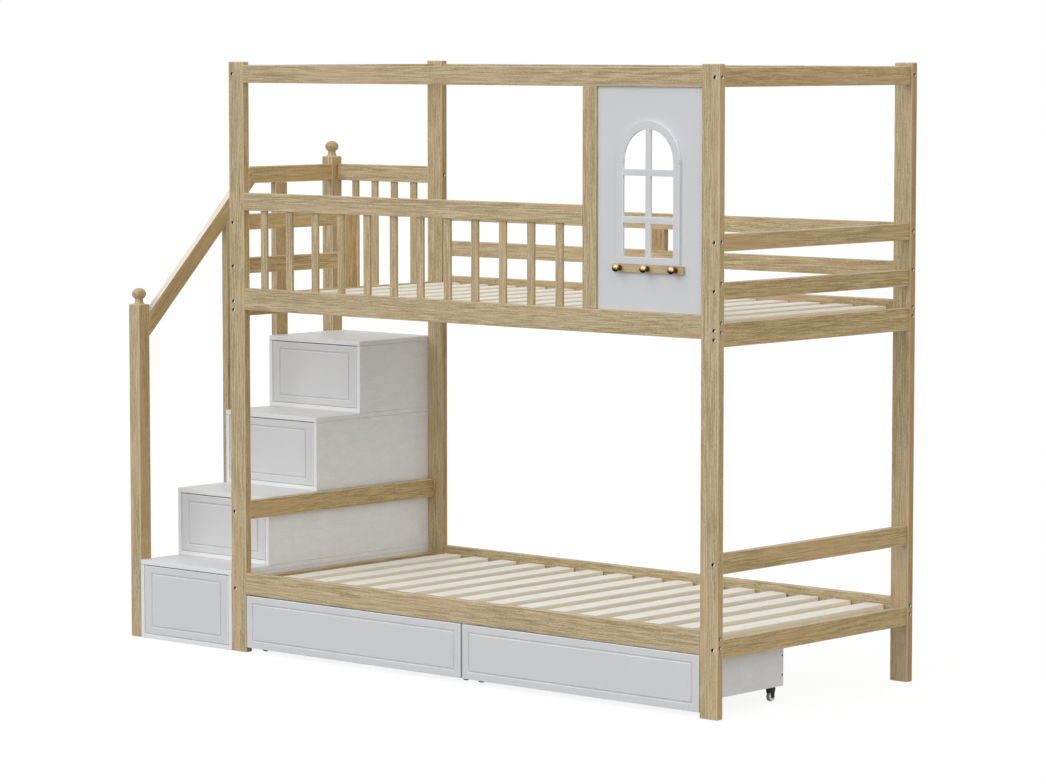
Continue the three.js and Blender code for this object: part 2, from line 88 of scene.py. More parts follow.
def apply_modifier(piece, kind, **settings):
    """Adds a modifier and applies it at once."""
    choose(piece)
    modifier = piece.modifiers.new(kind.lower(), kind)
    for setting, value in settings.items():
        setattr(modifier, setting, value)
    bpy.ops.object.modifier_apply(modifier=modifier.name)


def mark_faces(piece, name, wanted):
    """Marks the faces that pass a test, for the finish to lighten them as wear and highlight, or to
    paint shade on them.
    """
    attributes = piece.data.attributes
    layer = attributes.get(name) or attributes.new(name, "FLOAT", "FACE")
    for face, mark in zip(piece.data.polygons, layer.data):
        mark.value = 1.0 if wanted(face) else 0.0


def tilted(face):
    """Whether a face looks along none of the axes."""
    return max(abs(part) for part in face.normal) <= straight_share


def ease(piece, radius, segments=3):
    """Rounds over the sharp edges, and marks the rounded faces, which the finishes lighten as wear
    and as a painted highlight.
    """
    apply_modifier(piece, "BEVEL", width=radius, segments=segments, limit_method="ANGLE")
    mark_faces(piece, "worn_and_highlit", tilted)


def lay_grain(piece, along, deep=None):
    """Sets each point's place in the log: across the board, towards the pith, and along."""
    corners = [Vector(corner) for corner in piece.bound_box]
    size = corners[6] - corners[0]
    if deep is None:
        others = [axis for axis in range(3) if not along[axis]]
        thin = min(others, key=lambda axis: size[axis])
        deep = Vector([1.0 if axis == thin else 0.0 for axis in range(3)])
    along, deep = Vector(along), Vector(deep)
    across = along.cross(deep)
    middle = (corners[6] + corners[0]) / 2
    start = Vector((lumber.uniform(-log_side, log_side), lumber.uniform(*log_depth),
                    lumber.uniform(0, log_length)))
    grain = piece.data.attributes.new("grain", "FLOAT_VECTOR", "POINT")
    for point, place in zip(piece.data.vertices, grain.data):
        offset = point.co - middle
        place.vector = start + Vector((offset.dot(across), offset.dot(deep), offset.dot(along)))


def smooth(piece, angle):
    """Smooth shading over the eased edges, with the flat faces kept flat."""
    choose(piece)
    bpy.ops.object.shade_smooth_by_angle(angle=math.radians(angle))
    apply_modifier(piece, "WEIGHTED_NORMAL", keep_sharp=True)


def join(name, pieces):
    """Joins pieces into the first of them."""
    bpy.ops.object.select_all(action="DESELECT")
    for piece in pieces:
        piece.select_set(True)
    bpy.context.view_layer.objects.active = pieces[0]
    bpy.ops.object.join()
    pieces[0].name = name
    return pieces[0]


def settle(piece, material, slot, body, *nodes, angle=shade_angle):
    """Shades a piece, gives it its finish and its body, and lets it stand for its nodes."""
    if angle:
        smooth(piece, angle)
    piece.data.materials.clear()
    piece.data.materials.append(material)
    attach(piece, body)
    if nodes:
        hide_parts(*nodes)


def add_node(tree, kind, inputs=(), **options):
    """Adds a shader node. Each input is a value or another node's output."""
    node = tree.nodes.new("ShaderNode" + kind)
    for option, value in options.items():
        setattr(node, option, value)
    for socket, value in dict(inputs).items():
        if isinstance(value, bpy.types.NodeSocket):
            tree.links.new(value, node.inputs[socket])
        else:
            node.inputs[socket].default_value = value
    return node


def new_finish(name):
    """A new material, its node tree and its surface shader."""
    material = bpy.data.materials.new(name)
    material.use_nodes = True
    return material, material.node_tree, material.node_tree.nodes["Principled BSDF"]


def fitted(tree, value, low, high, to_low=0, to_high=1):
    """Maps a value's range onto another one."""
    return add_node(tree, "MapRange", {
        "Value": value, "From Min": low, "From Max": high, "To Min": to_low, "To Max": to_high
    }).outputs[0]


def reckoned(tree, operation, *values):
    """The result of a Math node."""
    return add_node(tree, "Math", dict(enumerate(values)), operation=operation).outputs[0]


def marked(tree, name):
    """The share that a mark on the mesh gives the surface."""
    return add_node(tree, "Attribute", attribute_name=name).outputs["Fac"]


def facing(tree, axis):
    """How far the surface looks along an axis, from -1 to 1."""
    normal = add_node(tree, "TexCoord").outputs["Normal"]
    return add_node(tree, "SeparateXYZ", {0: normal}).outputs[axis]


def mixed(tree, factor, first, second, blend="MIX"):
    """The first colour, with the second one laid over it by a factor."""
    return add_node(tree, "MixRGB", {"Fac": factor, "Color1": first, "Color2": second},
                    blend_type=blend).outputs[0]


def noise(tree, vector, stretch, detail, output="Fac"):
    """Noise on coordinates in metres, with so many blotches to a metre along each axis."""
    stretched = add_node(tree, "VectorMath", {0: vector, 1: stretch}, operation="MULTIPLY")
    settings = {"Vector": stretched.outputs[0], "Scale": 1.0, "Detail": detail}
    return add_node(tree, "TexNoise", settings).outputs[output]


def speckle(tree, scale, detail):
    """Noise over the piece, alike in all directions, with so many blotches to a metre."""
    return noise(tree, add_node(tree, "TexCoord").outputs["Object"], (scale, scale, scale), detail)


def strayed(tree, vector, wander, reach):
    """Coordinates that stray from their places by a noise's colour times a reach."""
    return add_node(tree, "VectorMath", {0: wander, 1: reach, 2: vector},
                    operation="MULTIPLY_ADD").outputs[0]


def coated(tree, surface, tone, roughness):
    """Gives the surface its colour and its roughness."""
    tree.links.new(tone, surface.inputs["Base Color"])
    tree.links.new(roughness, surface.inputs["Roughness"])


def bumped(tree, surface, height, strength, distance):
    """Gives the surface a fine relief."""
    bump = add_node(tree, "Bump", {"Height": height, "Strength": strength, "Distance": distance})
    tree.links.new(bump.outputs[0], surface.inputs["Normal"])


def wood_finish(name, pale, deep, blush, painted_end_shade, roughness):
    """Planed timber: year rings about a wandering pith, streaks, dark lines and pores along the
    board, and patches that blush. The fourth colour is painted shade, laid over the faces that
    look towards the ends of the bed. The eased edges are lightened as wear and as a painted
    highlight, and two further marks lay a painted highlight and painted shade on chosen faces."""
    material, tree, surface = new_finish(name)
    grain = add_node(tree, "Attribute", attribute_name="grain").outputs["Vector"]
    # The pith wanders by centimetres along the log, and the rings about it ripple by millimetres
    pith = strayed(tree, grain, noise(tree, grain, (0, 0, 0.9), 2.0, "Color"), (0.05, 0.035, 0))
    rippled = strayed(tree, pith, noise(tree, grain, (30, 30, 3), 3.0, "Color"), (0.006, 0.006, 0))
    rings = add_node(tree, "TexWave", {"Vector": rippled, "Scale": 55.0}, wave_type="RINGS",
                     rings_direction="Z", wave_profile="SAW").outputs["Fac"]
    streaks = noise(tree, grain, (150, 150, 2.6), 4.0)
    lines = noise(tree, grain, (500, 500, 12), 2.0)
    pores = noise(tree, grain, (1000, 1000, 110), 1.0)
    patches = noise(tree, grain, (24, 24, 1.6), 2.0)
    board = noise(tree, grain, (0, 0, 0.2), 0.0)

    # Each part adds its range, stretched to plus or minus its share
    figure = fitted(tree, rings, 0, 1, -0.1, 0.1)
    for part, low, high, share in ((streaks, 0.36, 0.64, 0.22), (lines, 0.4, 0.6, 0.42),
                                   (pores, 0.38, 0.62, 0.36), (patches, 0.34, 0.66, 0.1),
                                   (board, 0.3, 0.7, 0.06)):
        figure = reckoned(tree, "ADD", figure, fitted(tree, part, low, high, -share, share))
    tone = mixed(tree, fitted(tree, figure, -0.6, 0.6), deep, pale)
    tone = mixed(tree, fitted(tree, patches, 0.5, 0.66, 0, 0.5), tone, blush)
    tone = mixed(tree, fitted(tree, streaks, 0.57, 0.68, 0, 0.25), tone, deep, "MULTIPLY")
    tone = mixed(tree, fitted(tree, pores, 0.62, 0.72, 0, 0.4), tone, deep, "MULTIPLY")

    # Painted shade: faces that look towards the ends of the bed are darkened and browned by the
    # fourth colour
    endwise = reckoned(tree, "ABSOLUTE", facing(tree, "X"))
    tone = mixed(tree, fitted(tree, endwise, 0.3, 0.95), tone, painted_end_shade, "MULTIPLY")
    # Eased edges are lightened towards the pale tone, as wear and as a painted highlight
    worn_and_highlit = reckoned(tree, "MULTIPLY", marked(tree, "worn_and_highlit"),
                    fitted(tree, streaks, 0.35, 0.65, 0.35, 0.85))
    tone = mixed(tree, worn_and_highlit, tone, pale)
    # Painted shade darkens the marked faces
    tone = mixed(tree, marked(tree, "painted_shade"), tone, painted_shade_tint, "MULTIPLY")
    # Painted highlight: the marked faces are lifted towards a very pale tone
    painted_light = reckoned(tree, "MULTIPLY", marked(tree, "painted_light"),
                      fitted(tree, streaks, 0.35, 0.65, 0.6, 0.95))
    tone = mixed(tree, painted_light, tone, painted_light_tone)
    coated(tree, surface, tone, fitted(tree, lines, 0.3, 0.7, roughness + 0.07, roughness - 0.05))
    bumped(tree, surface, reckoned(tree, "SUBTRACT", lines, fitted(tree, pores, 0.62, 0.72)),
           0.2, 0.0004)
    return material


# The fourth colour is painted shade on the faces that look towards the ends of the bed
oak = wood_finish("oak under satin lacquer", colour(222, 206, 168), colour(160, 136, 94),
                  colour(210, 180, 143), colour(241, 229, 202), 0.48)
posts = {}  # their bolt holes, grain and shading follow under Bolts
for place in ("front_left", "front_right", "back_left", "back_right"):
    post = block(f"post_{place}_oak", *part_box(f"post_{place}"))
    ease(post, post_ease)
    if place.startswith("back"):
        # Painted shade: the back posts' right sides are darkened
        mark_faces(post, "painted_shade", lambda face: face.normal.x > right_share)
    settle(post, oak, "oak", "frame", f"post_{place}", angle=None)
    posts[place] = post


# Rails
# Long rails and end rails of 23 mm oak join the posts at the canopy, at both bunks and at the head
# and foot of the lower one. Each is one planed board, drawn to the posts by bolts in its ends.
rail_ease = 0.002
along_x, along_y, along_z = (1, 0, 0), (0, 1, 0), (0, 0, 1)
faces, sides = ("front", "back"), ("left", "right")
long_rails = ("top_rail", "upper_side_rail", "lower_side_rail")
end_rails = ("top_rail", "upper_end_rail", "head_rail", "lower_end_rail")


def oak_block(name, low, high, along, radius=rail_ease):
    """A board between two corners, with its grain along it and its edges eased."""
    piece = block(name, low, high)
    ease(piece, radius)
    lay_grain(piece, along)
    return piece


def oak_board(node, along, radius=rail_ease):
    """A board of the frame that fills its node's box."""
    board = oak_block(f"{node}_oak", *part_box(node), along, radius)
    settle(board, oak, "oak", "frame", node)


for face in faces:
    for level in long_rails:
        oak_board(f"{face}_{level}", along_x)
for side in sides:
    for level in end_rails:
        oak_board(f"{side}_{level}", along_y)


# Guards of the upper bunk
# Plain oak rails guard the ends and the back, with short stiles where they stop or need holding
# apart. The front one is a rail over twelve flat balusters, glued into it and into the side rail.
handrail_stock = 0.058
guard_stock = 0.052
baluster_width = 0.028
baluster_thickness = 0.010
thin_ease = 0.0012
front_baluster_count = 12
front_baluster_start = 0.072  # from the rail's left end to the first baluster
front_baluster_end = 0.086  # and from the last one to its right end
back_stile_place = 1.005  # from the bed's left end
back_stile_width = 0.059
back_guard_rise = 0.121  # from the side rail's top to the lower back guard's top


def placed(piece, place, turn=(0, 0, 0)):
    """Turns a piece about the origin and moves it to its place, within its mesh."""
    piece.rotation_euler = turn
    piece.location = place
    choose(piece)
    bpy.ops.object.transform_apply(location=True, rotation=True)
    return piece


def copied(model, place, turn=(0, 0, 0)):
    """A copy with its own mesh, turned and moved to its place."""
    copy = model.copy()
    copy.data = model.data.copy()
    bpy.context.collection.objects.link(copy)
    return placed(copy, place, turn)


def row_of(model, count, start, pitch, along):
    """A row of a board's copies along the bed, each with its own grain. The model is removed."""
    row = [copied(model, (start + index * pitch, 0, 0)) for index in range(count)]
    for copy in row:
        lay_grain(copy, along)
    bpy.data.objects.remove(model)
    return row


def balusters(count, first, last, bottom, low, high):
    """Flat balusters from a height up to the rail on top of a guard's box."""
    front = (low.y + high.y - baluster_thickness) / 2
    model = block("baluster", (0, front, bottom),
                  (baluster_width, front + baluster_thickness, high.z - handrail_stock))
    ease(model, thin_ease)
    return row_of(model, count, first, (last - baluster_width - first) / (count - 1), along_z)


for node in ("right_guard_upper", "right_guard_lower", "left_guard_upper", "left_guard_lower"):
    oak_board(node, along_y)
for node, along in (("left_guard_stile", along_z), ("front_stile", along_z),
                    ("back_guard_upper", along_x)):
    oak_board(node, along)

low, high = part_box("back_guard_lower")
upper_bunk_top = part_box("back_upper_side_rail")[1].z
bed_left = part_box("post_back_left")[0].x
back_guard_top = upper_bunk_top + back_guard_rise
stile_left = bed_left + back_stile_place
parts = [oak_block("rail", (low.x, low.y, back_guard_top - guard_stock),
                   (high.x, high.y, back_guard_top), along_x)]
for bottom, top in ((low.z, back_guard_top - guard_stock), (back_guard_top, high.z)):
    stile = oak_block("stile", (stile_left, low.y, bottom),
                      (stile_left + back_stile_width, high.y, top), along_z)
    # Painted shade: the stile is darkened all over
    mark_faces(stile, "painted_shade", lambda face: True)
    parts.append(stile)
settle(join("back_guard_lower_oak", parts), oak, "oak", "frame", "back_guard_lower")

low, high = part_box("front_guard")
parts = [oak_block("rail", (low.x, low.y, high.z - handrail_stock), high, along_x),
         *balusters(front_baluster_count, low.x + front_baluster_start,
                    high.x - front_baluster_end, low.z, low, high)]
settle(join("front_guard_oak", parts), oak, "oak", "frame", "front_guard")


# Bolts
# Machine bolts with hexagon sockets hold every rail end, one to a narrow rail, two to a deep one.
# Their heads sit just under the faces of the posts, in holes counterbored for them. Each carries
# a painted glint on its right and lower side.
hole_radius = 0.0064
hole_depth = 0.0035
head_radius = 0.0055
head_height = 0.0028
socket_radius = 0.003
socket_depth = 0.002
head_ease = 0.0007
head_sides = 24
hexagon_sides = 6
painted_glint_slant = 0.4  # the painted glint lies on the heads' right and, by this share, on their lower side
bolt_spacing = 0.028
deep_rail = 0.07  # a rail at least so deep has two bolts at each end
quarter = math.radians(90)
facing_front = (quarter, 0, 0)


def cylinder(name, radius, depth, sides, middle):
    """A cylinder whose ends look to the front and the back."""
    bpy.ops.mesh.primitive_cylinder_add(vertices=sides, radius=radius, depth=depth, location=middle,
                                        rotation=facing_front)
    piece = bpy.context.active_object
    piece.name = name
    bpy.ops.object.transform_apply(location=True, rotation=True)
    return piece


def cut(piece, cutter):
    """Takes the cutter's shape out of a piece, and removes the cutter."""
    apply_modifier(piece, "BOOLEAN", operation="DIFFERENCE", solver="EXACT", object=cutter)
    bpy.data.objects.remove(cutter)


drill = cylinder("drill", hole_radius, 2 * hole_depth, head_sides, (0, 0, 0))
bolt = cylinder("bolt", head_radius, head_height, head_sides, (0, hole_depth - head_height / 2, 0))
ease(bolt, head_ease, 2)
cut(bolt, cylinder("socket", socket_radius, 2 * socket_depth, hexagon_sides,
                   (0, hole_depth - head_height, 0)))
# A painted glint: each point of a head is lighter the further it lies to the right and down
painted_glint = bolt.data.attributes.new("painted_glint", "FLOAT", "POINT")
for point, mark in zip(bolt.data.vertices, painted_glint.data):
    mark.value = (point.co.x - painted_glint_slant * point.co.z) / head_radius

holes = {place: [] for place in posts}


def drill_for(post, rail_low, rail_high, rail_runs):
    """Notes the bolt holes in a post for one end of a rail, each with its turn from the front."""
    post_low, post_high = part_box(f"post_{post}")
    at_front, at_left = post.startswith("front"), post.endswith("left")
    if rail_runs == "across":
        x, y = (rail_low.x + rail_high.x) / 2, post_low.y if at_front else post_high.y
        turn = 0 if at_front else 2 * quarter
    else:
        x, y = post_low.x if at_left else post_high.x, (post_low.y + post_high.y) / 2
        turn = -quarter if at_left else quarter
    level = (rail_low.z + rail_high.z) / 2
    spread = bolt_spacing / 2 if rail_high.z - rail_low.z >= deep_rail else 0
    for height in sorted({level - spread, level + spread}):
        holes[post].append(((x, y, height), turn))


for side in sides:
    for face in faces:
        for level in end_rails:
            drill_for(f"{face}_{side}", *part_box(f"{side}_{level}"), "across")
        for level in long_rails:
            drill_for(f"{face}_{side}", *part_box(f"{face}_{level}"), "along")
        if (face, side) != ("back", "left"):  # the left guards stop at a stile before that post
            for level in ("guard_upper", "guard_lower"):
                drill_for(f"{face}_{side}", *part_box(f"{side}_{level}"), "across")
    drill_for(f"back_{side}", *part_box("back_guard_upper"), "along")
    drill_for(f"back_{side}", Vector((0, 0, back_guard_top - guard_stock)),
              Vector((0, 0, back_guard_top)), "along")
back_guard_upper_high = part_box("back_guard_upper")[1]
low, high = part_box("front_guard")
drill_for("front_left", Vector((low.x, low.y, high.z - handrail_stock)), high, "along")
for level in (back_guard_top - guard_stock / 2, back_guard_upper_high.z - guard_stock / 2):
    drill_for("front_right", Vector((0, 0, level)), Vector((0, 0, level)), "along")
low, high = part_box("post_back_left")
landing_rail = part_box("landing_guard")[1].z - handrail_stock / 2
holes["back_left"].append(((high.x, (low.y + high.y) / 2, landing_rail), quarter))

bolts = []
for place, post in posts.items():
    cut(post, join("drills", [copied(drill, point, (0, 0, turn)) for point, turn in holes[place]]))
    lay_grain(post, along_z)
    smooth(post, shade_angle)
    bolts += [copied(bolt, point, (0, 0, turn)) for point, turn in holes[place]]
bpy.data.objects.remove(drill)
bpy.data.objects.remove(bolt)

dark_steel, tree, surface = new_finish("burnished steel")
scratches = speckle(tree, 2500, 3.0)
tone = mixed(tree, scratches, colour(24, 22, 22), colour(52, 50, 50))
# Painted glint: the marked parts of the heads are lifted to near white
tone = mixed(tree, fitted(tree, marked(tree, "painted_glint"), 0.15, 0.6), tone, colour(246, 244, 250))
coated(tree, surface, tone, fitted(tree, scratches, 0.3, 0.7, 0.22, 0.4))
surface.inputs["Metallic"].default_value = 1.0
settle(join("frame_bolts", bolts), dark_steel, "dark_steel", "frame")


# Window board
# A 12 mm painted board closes the guard beside the right front post. Over its arched opening is
# glued a flat painted frame with glazing bars, made up of a bent head and straight lengths.
trim_width = 0.024
trim_foot = 0.021
rebate = 0.011  # the board's opening is cut back this far behind the frame
bar_width = 0.020
window_bar_places = (0.112, 0.254)  # middles of the cross bars over the clear opening's bottom
head_seam_drop = 0.006  # from the springing down to the joint between the bent head and the sides
trim_seam = 0.0006
arch_sides = 96
cutter_overrun = 0.01  # a cutter stands out so far from the board on each side
paint_ease = 0.0012

white_paint, tree, surface = new_finish("satin white paint on board")
stipple = speckle(tree, 900, 2.0)
cloud = speckle(tree, 9, 2.0)
tone = mixed(tree, cloud, colour(219, 220, 223), colour(224, 225, 227))
# Painted shade in the grooves: the marked faces are darkened towards grey
tone = mixed(tree, fitted(tree, marked(tree, "painted_groove_shade"), 0, 1, 0, 0.22), tone, colour(140, 141, 144))
# Eased edges are lightened to near white, as a painted highlight with wear
worn_and_highlit = reckoned(tree, "MULTIPLY", marked(tree, "worn_and_highlit"), fitted(tree, cloud, 0.3, 0.7, 0.5, 1))
coated(tree, surface, mixed(tree, worn_and_highlit, tone, colour(253, 254, 255)),
       fitted(tree, stipple, 0.3, 0.7, 0.36, 0.5))
bumped(tree, surface, stipple, 0.12, 0.0003)

frame_low, frame_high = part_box("window_frame")
centre = (frame_low.x + frame_high.x) / 2
outer_radius = (frame_high.x - frame_low.x) / 2
clear_radius = outer_radius - trim_width
springing = frame_high.z - outer_radius
sill = frame_low.z + trim_foot


def arch_block(name, radius, bottom, front, back):
    """A board with a round head, standing on its bottom edge."""
    middle = (front + back) / 2
    body = block(name, (centre - radius, front, bottom), (centre + radius, back, springing))
    head = cylinder("head", radius, back - front, arch_sides, (centre, middle, springing))
    apply_modifier(body, "BOOLEAN", operation="UNION", solver="EXACT", object=head)
    bpy.data.objects.remove(head)
    return body


low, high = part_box("window_board")
window_board = block("window_board_painted", low, high)
cut(window_board, arch_block("opening", clear_radius + rebate, sill - rebate,
                             low.y - cutter_overrun, high.y + cutter_overrun))
ease(window_board, paint_ease, 2)
settle(window_board, white_paint, "white_board", "frame", "window_board")

arch = arch_block("arch", outer_radius, sill, frame_low.y, frame_high.y)
cutter_front, cutter_back = frame_low.y - cutter_overrun, frame_high.y + cutter_overrun
cut(arch, arch_block("inside", clear_radius, frame_low.z, cutter_front, cutter_back))
cut(arch, block("below", (low.x, cutter_front, low.z),
                (high.x, cutter_back, springing - head_seam_drop + trim_seam)))
ease(arch, paint_ease, 2)
trim = [arch]


def trim_strip(x_low, x_high, z_low, z_high):
    """Adds a straight length to the trim."""
    strip = block("strip", (x_low, frame_low.y, z_low), (x_high, frame_high.y, z_high))
    ease(strip, paint_ease, 2)
    trim.append(strip)


for edge in (centre - outer_radius, centre + clear_radius):
    trim_strip(edge, edge + trim_width, sill + trim_seam, springing - head_seam_drop)
trim_strip(centre - outer_radius, centre + outer_radius, frame_low.z, sill)
half_bar = bar_width / 2
levels = [sill, *[sill + place for place in window_bar_places], springing + clear_radius]
for level in levels[1:-1]:
    trim_strip(centre - clear_radius, centre + clear_radius, level - half_bar, level + half_bar)
for bottom, top in zip(levels, levels[1:]):
    trim_strip(centre - half_bar, centre + half_bar, bottom + (half_bar if bottom != sill else 0),
               top - (half_bar if top != levels[-1] else 0))
settle(join("window_frame_painted", trim), white_paint, "white_board", "frame", "window_frame")


# Peg bar
# A small oak bar under the window carries three turned brass pegs, each a ball on a waisted neck
# over a flange, screwed in from behind. The flange and neck are dark with age, and each knob
# carries a painted highlight towards its upper front and painted shade away from it.
peg_flange_radius = 0.009
peg_flange_height = 0.0025
peg_flange_ease = 0.0006
peg_fillet = (0.0015, 0.0008)  # of the neck on its flange, outwards and upwards
peg_neck_radius = 0.0045
peg_knob_radius = 0.0115
peg_knob_height = 0.022
peg_knob_steps = 16
peg_sides = 40
peg_shade_angle = 50
painted_light_way = (0.45, -0.35, 0.82)  # knobs get a painted highlight this way and painted shade opposite
same_place = 1e-5  # points and edges closer than this count as one

oak_board("peg_bar", along_x, thin_ease)


def turned(name, profile, sides, hollow=False):
    """A piece turned about Z: a ring drawn out and resized from (radius, height) to the next."""
    radius, height = profile[0]
    bpy.ops.mesh.primitive_circle_add(vertices=sides, radius=radius, location=(0, 0, height),
                                      fill_type="NOTHING" if hollow else "NGON")
    piece = bpy.context.active_object
    piece.name = name
    bpy.ops.object.transform_apply(location=True)
    bpy.ops.object.mode_set(mode="EDIT")
    bpy.ops.mesh.select_mode(type="EDGE")
    bpy.ops.mesh.select_all(action="SELECT")
    for (radius_before, height_before), (radius, height) in zip(profile, profile[1:]):
        rise = {"value": (0, 0, height - height_before)}
        bpy.ops.mesh.extrude_edges_move(TRANSFORM_OT_translate=rise)
        if radius:
            scale = radius / radius_before
            bpy.ops.transform.resize(value=(scale, scale, 1), center_override=(0, 0, height))
        else:
            bpy.ops.mesh.merge(type="CENTER")
    if hollow:
        bpy.ops.mesh.select_all(action="SELECT")
        bpy.ops.mesh.remove_doubles(threshold=same_place)
    bpy.ops.mesh.select_all(action="SELECT")
    bpy.ops.mesh.normals_make_consistent(inside=False)
    bpy.ops.object.mode_set(mode="OBJECT")
    return piece


def ball(radius, height, neck_radius, top, steps):
    """The outline of a flattened ball from its neck to its top, as (radius, height) points."""
    start = -math.acos(neck_radius / radius)
    angles = [start + (math.pi / 2 - start) * step / steps for step in range(steps)]
    return [(radius * math.cos(angle), top - height / 2 + height / 2 * math.sin(angle))
            for angle in angles] + [(0, top)]


# Knobs get a painted highlight one way and painted shade the other; flange and neck keep a dark
# patina
brass, tree, surface = new_finish("aged brass with painted light")
tarnish = speckle(tree, 160, 4.0)
normal = add_node(tree, "TexCoord").outputs["Normal"]
upward = add_node(tree, "VectorMath", {0: normal, 1: painted_light_way},
                  operation="DOT_PRODUCT").outputs["Value"]
painted_light = reckoned(tree, "ADD", upward, fitted(tree, tarnish, 0.3, 0.7, -0.12, 0.12))
tone = mixed(tree, fitted(tree, painted_light, 0.18, 0.5), colour(24, 12, 2), colour(186, 142, 76))
tone = mixed(tree, fitted(tree, painted_light, 0.66, 0.86), tone, colour(255, 240, 204))
coated(tree, surface, mixed(tree, marked(tree, "worn_and_highlit"), colour(84, 46, 20), tone),
       fitted(tree, tarnish, 0.3, 0.7, 0.16, 0.3))
surface.inputs["Metallic"].default_value = 1.0

for place in ("left", "middle", "right"):
    low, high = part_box(f"peg_{place}")
    length = high.y - low.y
    flange = [
        (peg_flange_radius - peg_flange_ease, 0), (peg_flange_radius, peg_flange_ease),
        (peg_flange_radius, peg_flange_height - peg_flange_ease),
        (peg_flange_radius - peg_flange_ease, peg_flange_height)]
    neck = [(peg_neck_radius + peg_fillet[0], peg_flange_height + peg_fillet[1]),
            (peg_neck_radius, 2 * peg_flange_height)]
    knob = ball(peg_knob_radius, peg_knob_height, peg_neck_radius, length, peg_knob_steps)
    peg = turned(f"peg_{place}_brass", flange + neck + knob, peg_sides)
    # Marks the knob, which takes the painted highlight and shade; the flange and neck keep their
    # patina
    mark_faces(peg, "worn_and_highlit", lambda face: face.center.z > length - peg_knob_height)
    placed(peg, ((low.x + high.x) / 2, high.y, (low.z + high.z) / 2), facing_front)
    settle(peg, brass, "brass", "frame", f"peg_{place}", angle=peg_shade_angle)


# Slatted bases
# Each bunk has fifteen planed, unlacquered slats with eased edges. They lie on two square battens
# that are screwed along the inner faces of the side rails, and are stapled down at their ends.
slat_count = 15
slat_width = 0.068
slat_thickness = 0.018
slat_end_gap = 0.008  # from a slat's ends to the side rails
batten_size = 0.025
slat_ease = 0.0018

# The fourth colour is painted shade on the faces that look towards the ends of the bed
slat_wood = wood_finish("planed pale slats", colour(255, 254, 248), colour(250, 245, 234),
                        colour(254, 248, 238), colour(254, 246, 226), 0.58)
for bunk in ("upper", "lower"):
    low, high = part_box(f"{bunk}_slats")
    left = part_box(f"left_{bunk}_end_rail")[1].x
    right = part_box(f"right_{bunk}_end_rail")[0].x
    gap = (right - left - slat_count * slat_width) / (slat_count + 1)
    slat_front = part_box(f"front_{bunk}_side_rail")[1].y + slat_end_gap
    slat_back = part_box(f"back_{bunk}_side_rail")[0].y - slat_end_gap
    model = block("slat", (0, slat_front, high.z - slat_thickness),
                  (slat_width, slat_back, high.z))
    ease(model, slat_ease)
    parts = row_of(model, slat_count, left + gap, slat_width + gap, along_y)
    for front in (low.y, high.y - batten_size):
        batten = block("batten", (low.x, front, low.z),
                       (high.x, front + batten_size, high.z - slat_thickness))
        ease(batten, slat_ease)
        lay_grain(batten, along_x, along_y)
        parts.append(batten)
    settle(join(f"{bunk}_slats_planed", parts), slat_wood, "slats", "frame", f"{bunk}_slats")


# Step cases
# Four white melamine boxes are stacked as a stair against the left end of the bed. Their 16 mm
# boards are butted and cam-locked, the top board over the sides, with a thin back let in behind.
case_board = 0.016
case_back = 0.009
board_ease = 0.001
seam = 0.0004

melamine, tree, surface = new_finish("warm white melamine")
spot = add_node(tree, "TexCoord").outputs["Object"]
linen = noise(tree, spot, (260, 90, 260), 3.0)
mottle = noise(tree, spot, (38, 14, 38), 4.0)
# Painted shade with a real linen texture: faces that look to the ends are darker and warmer and
# show the linen
end_shade_and_linen = mixed(tree, fitted(tree, mottle, 0.3, 0.7),
              colour(228, 228, 227), colour(235, 235, 234))
end_shade_and_linen = mixed(tree, fitted(tree, linen, 0.4, 0.75, 0, 0.35), end_shade_and_linen, colour(212, 211, 208))
endwise = reckoned(tree, "ABSOLUTE", facing(tree, "X"))
# Painted light: faces that look to the front are lighter and cooler than the rest
tone = mixed(tree, fitted(tree, facing(tree, "Y"), -0.95, -0.6),
             colour(242, 243, 245), colour(227, 228, 229))
tone = mixed(tree, fitted(tree, endwise, 0.6, 0.95), tone, end_shade_and_linen)
# Eased edges are drawn towards a light grey, as wear and as a painted highlight
tone = mixed(tree, fitted(tree, marked(tree, "worn_and_highlit"), 0, 1, 0, 0.6), tone, colour(236, 237, 239))
coated(tree, surface, tone, fitted(tree, linen, 0.3, 0.7, 0.42, 0.56))
bumped(tree, surface, linen, 0.15, 0.0003)


def white_panel(low, high, radius=board_ease):
    """A thin board between two corners, with its edges eased."""
    panel = block("panel", low, high)
    ease(panel, radius, 2)
    return panel


for number in range(1, 5):
    low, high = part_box(f"step_case_{number}")
    inner_left, inner_right = low.x + case_board, high.x - case_board
    under_top = high.z - case_board
    case = join(f"step_case_{number}_boards", [
        white_panel((low.x, low.y, under_top), high),
        white_panel(low, (inner_left, high.y, under_top - seam)),
        white_panel((inner_right, low.y, low.z), (high.x, high.y, under_top - seam)),
        white_panel((inner_left, low.y, low.z), (inner_right, high.y, low.z + case_board)),
        white_panel((inner_left, high.y - case_back, low.z + case_board),
                    (inner_right, high.y, under_top))])
    settle(case, melamine, "white_board", "frame", f"step_case_{number}")


# Step drawers
# Each riser is a drawer front of painted board with a groove milled round it, closed flush with the
# case. Behind it is a box of thin melamine boards, grooved for its base, that slides on the case.
front_board = 0.016
groove_level = 0.022
groove_width = 0.007
groove_depth = 0.003
groove_ease = 0.0009
front_ease = 0.002
step_groove_side = 0.032
step_front_lift = 0.0007  # the front clears the case's bottom by this
step_box_drop = 0.075  # the box's walls stop this far under the front's top
drawer_wall = 0.012
drawer_base = 0.006
drawer_base_ease = 0.0005


def pick(piece, kind, wanted):
    """In edit mode, selects the faces or edges that pass a test, and no others."""
    bpy.ops.mesh.select_mode(type="FACE" if kind == "faces" else "EDGE")
    bpy.ops.mesh.select_all(action="DESELECT")
    mesh = bmesh.from_edit_mesh(piece.data)
    for part in getattr(mesh, kind):
        part.select_set(wanted(part))
    bmesh.update_edit_mesh(piece.data)


